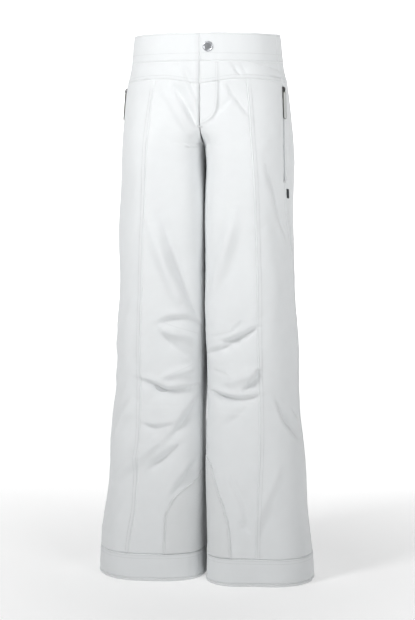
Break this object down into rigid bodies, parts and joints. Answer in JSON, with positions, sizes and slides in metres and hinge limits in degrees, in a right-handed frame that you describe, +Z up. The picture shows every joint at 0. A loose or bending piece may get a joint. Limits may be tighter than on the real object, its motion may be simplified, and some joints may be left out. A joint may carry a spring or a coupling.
{
  "type": "ski pants",
  "caption": "Ski pants with contoured waistband, snap and fly, zipped side pockets, princess seams, scuff guards, hem cuffs and inner gaiters.",
  "frame": {"origin": "middle of the waist opening, 6.5 mm below the waistband top edge at the front", "axes": "+X to the wearer's left, -Y to the wearer's front, +Z up"},
  "size_m": [0.4132, 0.2296, 1.0236],
  "materials": {
    "dark_tab": "plain dark woven",
    "elastic": "ribbed elastic, grey",
    "facing": "matt cloth, pale",
    "gaiter": "thin coated cloth, pale grey",
    "guard": "dense hard-wearing cloth, pale",
    "hook": "satin",
    "label": "satin ribbon, plain",
    "lining": "thin smooth lining, pale grey",
    "link": "dark satin wire",
    "pull": "soft moulded, pale grey",
    "ribbon": "narrow woven ribbon",
    "shell": "matt softshell cloth, cool white",
    "slider": "dark satin",
    "snap": "brushed",
    "trim": "folded binding, pale",
    "zip_tape": "woven tape with moulded coil, pale grey"
  },
  "bodies": {
    "garment": {"back_waistband": "shell", "care_label": "label", "fly_end_bar": "ribbon", "fly_shield": "facing", "fly_zipper": "zip_tape", "left_back_panel": "shell", "left_back_yoke": "shell", "left_front_panel": "shell", "left_front_yoke": "shell", "left_gaiter": "gaiter", "left_gaiter_elastic": "elastic", "left_guard_piping": "trim", "left_hanger_loop": "ribbon", "left_hem_binding": "trim", "left_hem_cuff": "shell", "left_lace_hook": "hook", "left_leg_lining": "lining", "left_pocket_bag": "lining", "left_pocket_end_bar": "ribbon", "left_pocket_zipper": "zip_tape", "left_scuff_guard": "guard", "left_side_panel": "shell", "left_waistband": "shell", "left_waistband_facing": "facing", "right_back_panel": "shell", "right_back_yoke": "shell", "right_front_panel": "shell", "right_front_yoke": "shell", "right_gaiter": "gaiter", "right_gaiter_elastic": "elastic", "right_guard_piping": "trim", "right_hanger_loop": "ribbon", "right_hem_binding": "trim", "right_hem_cuff": "shell", "right_lace_hook": "hook", "right_leg_lining": "lining", "right_pocket_bag": "lining", "right_pocket_end_bar": "ribbon", "right_pocket_zipper": "zip_tape", "right_scuff_guard": "guard", "right_side_panel": "shell", "right_waistband": "shell", "right_waistband_facing": "facing", "seat_lining": "lining", "side_tab": "dark_tab", "snap_stud": "snap", "waist_underlap": "facing"},
    "fly_flap": {"fly_flap": "shell", "waist_tab": "shell", "snap_cap": "snap", "snap_socket": "snap"},
    "fly_slider": {"fly_slider": "slider"},
    "left_pocket_slider": {"left_pocket_slider": "slider"},
    "left_pocket_pull": {"left_pocket_link": "link", "left_pocket_tab": "pull"},
    "right_pocket_slider": {"right_pocket_slider": "slider"},
    "right_pocket_pull": {"right_pocket_link": "link", "right_pocket_tab": "pull"}
  },
  "joints": [
    {"name": "fly_flap_open", "type": "hinge", "parent": "garment", "child": "fly_flap", "pos_m": [0.01782, -0.1036, -0.08], "axis": [0.21, 0, 0.9777], "range_deg": [0, 60]},
    {"name": "fly_zip_slide", "type": "slide", "parent": "garment", "child": "fly_slider", "axis": [0, 0, -1], "range_m": [0, 0.078]},
    {"name": "left_pocket_zip_slide", "type": "slide", "parent": "garment", "child": "left_pocket_slider", "axis": [0.0362, -0.1445, -0.9888], "range_m": [0, 0.15]},
    {"name": "left_pocket_pull_swing", "type": "hinge", "parent": "left_pocket_slider", "child": "left_pocket_pull", "pos_m": [0.14619, -0.03339, -0.09173], "axis": [-0.3707, -0.9209, 0.121], "range_deg": [0, 150]},
    {"name": "right_pocket_zip_slide", "type": "slide", "parent": "garment", "child": "right_pocket_slider", "axis": [-0.0655, -0.0596, -0.9961], "range_m": [0, 0.15]},
    {"name": "right_pocket_pull_swing", "type": "hinge", "parent": "right_pocket_slider", "child": "right_pocket_pull", "pos_m": [-0.15169, -0.01174, -0.0918], "axis": [-0.1116, 0.9924, -0.0521], "range_deg": [0, 150]}
  ]
}
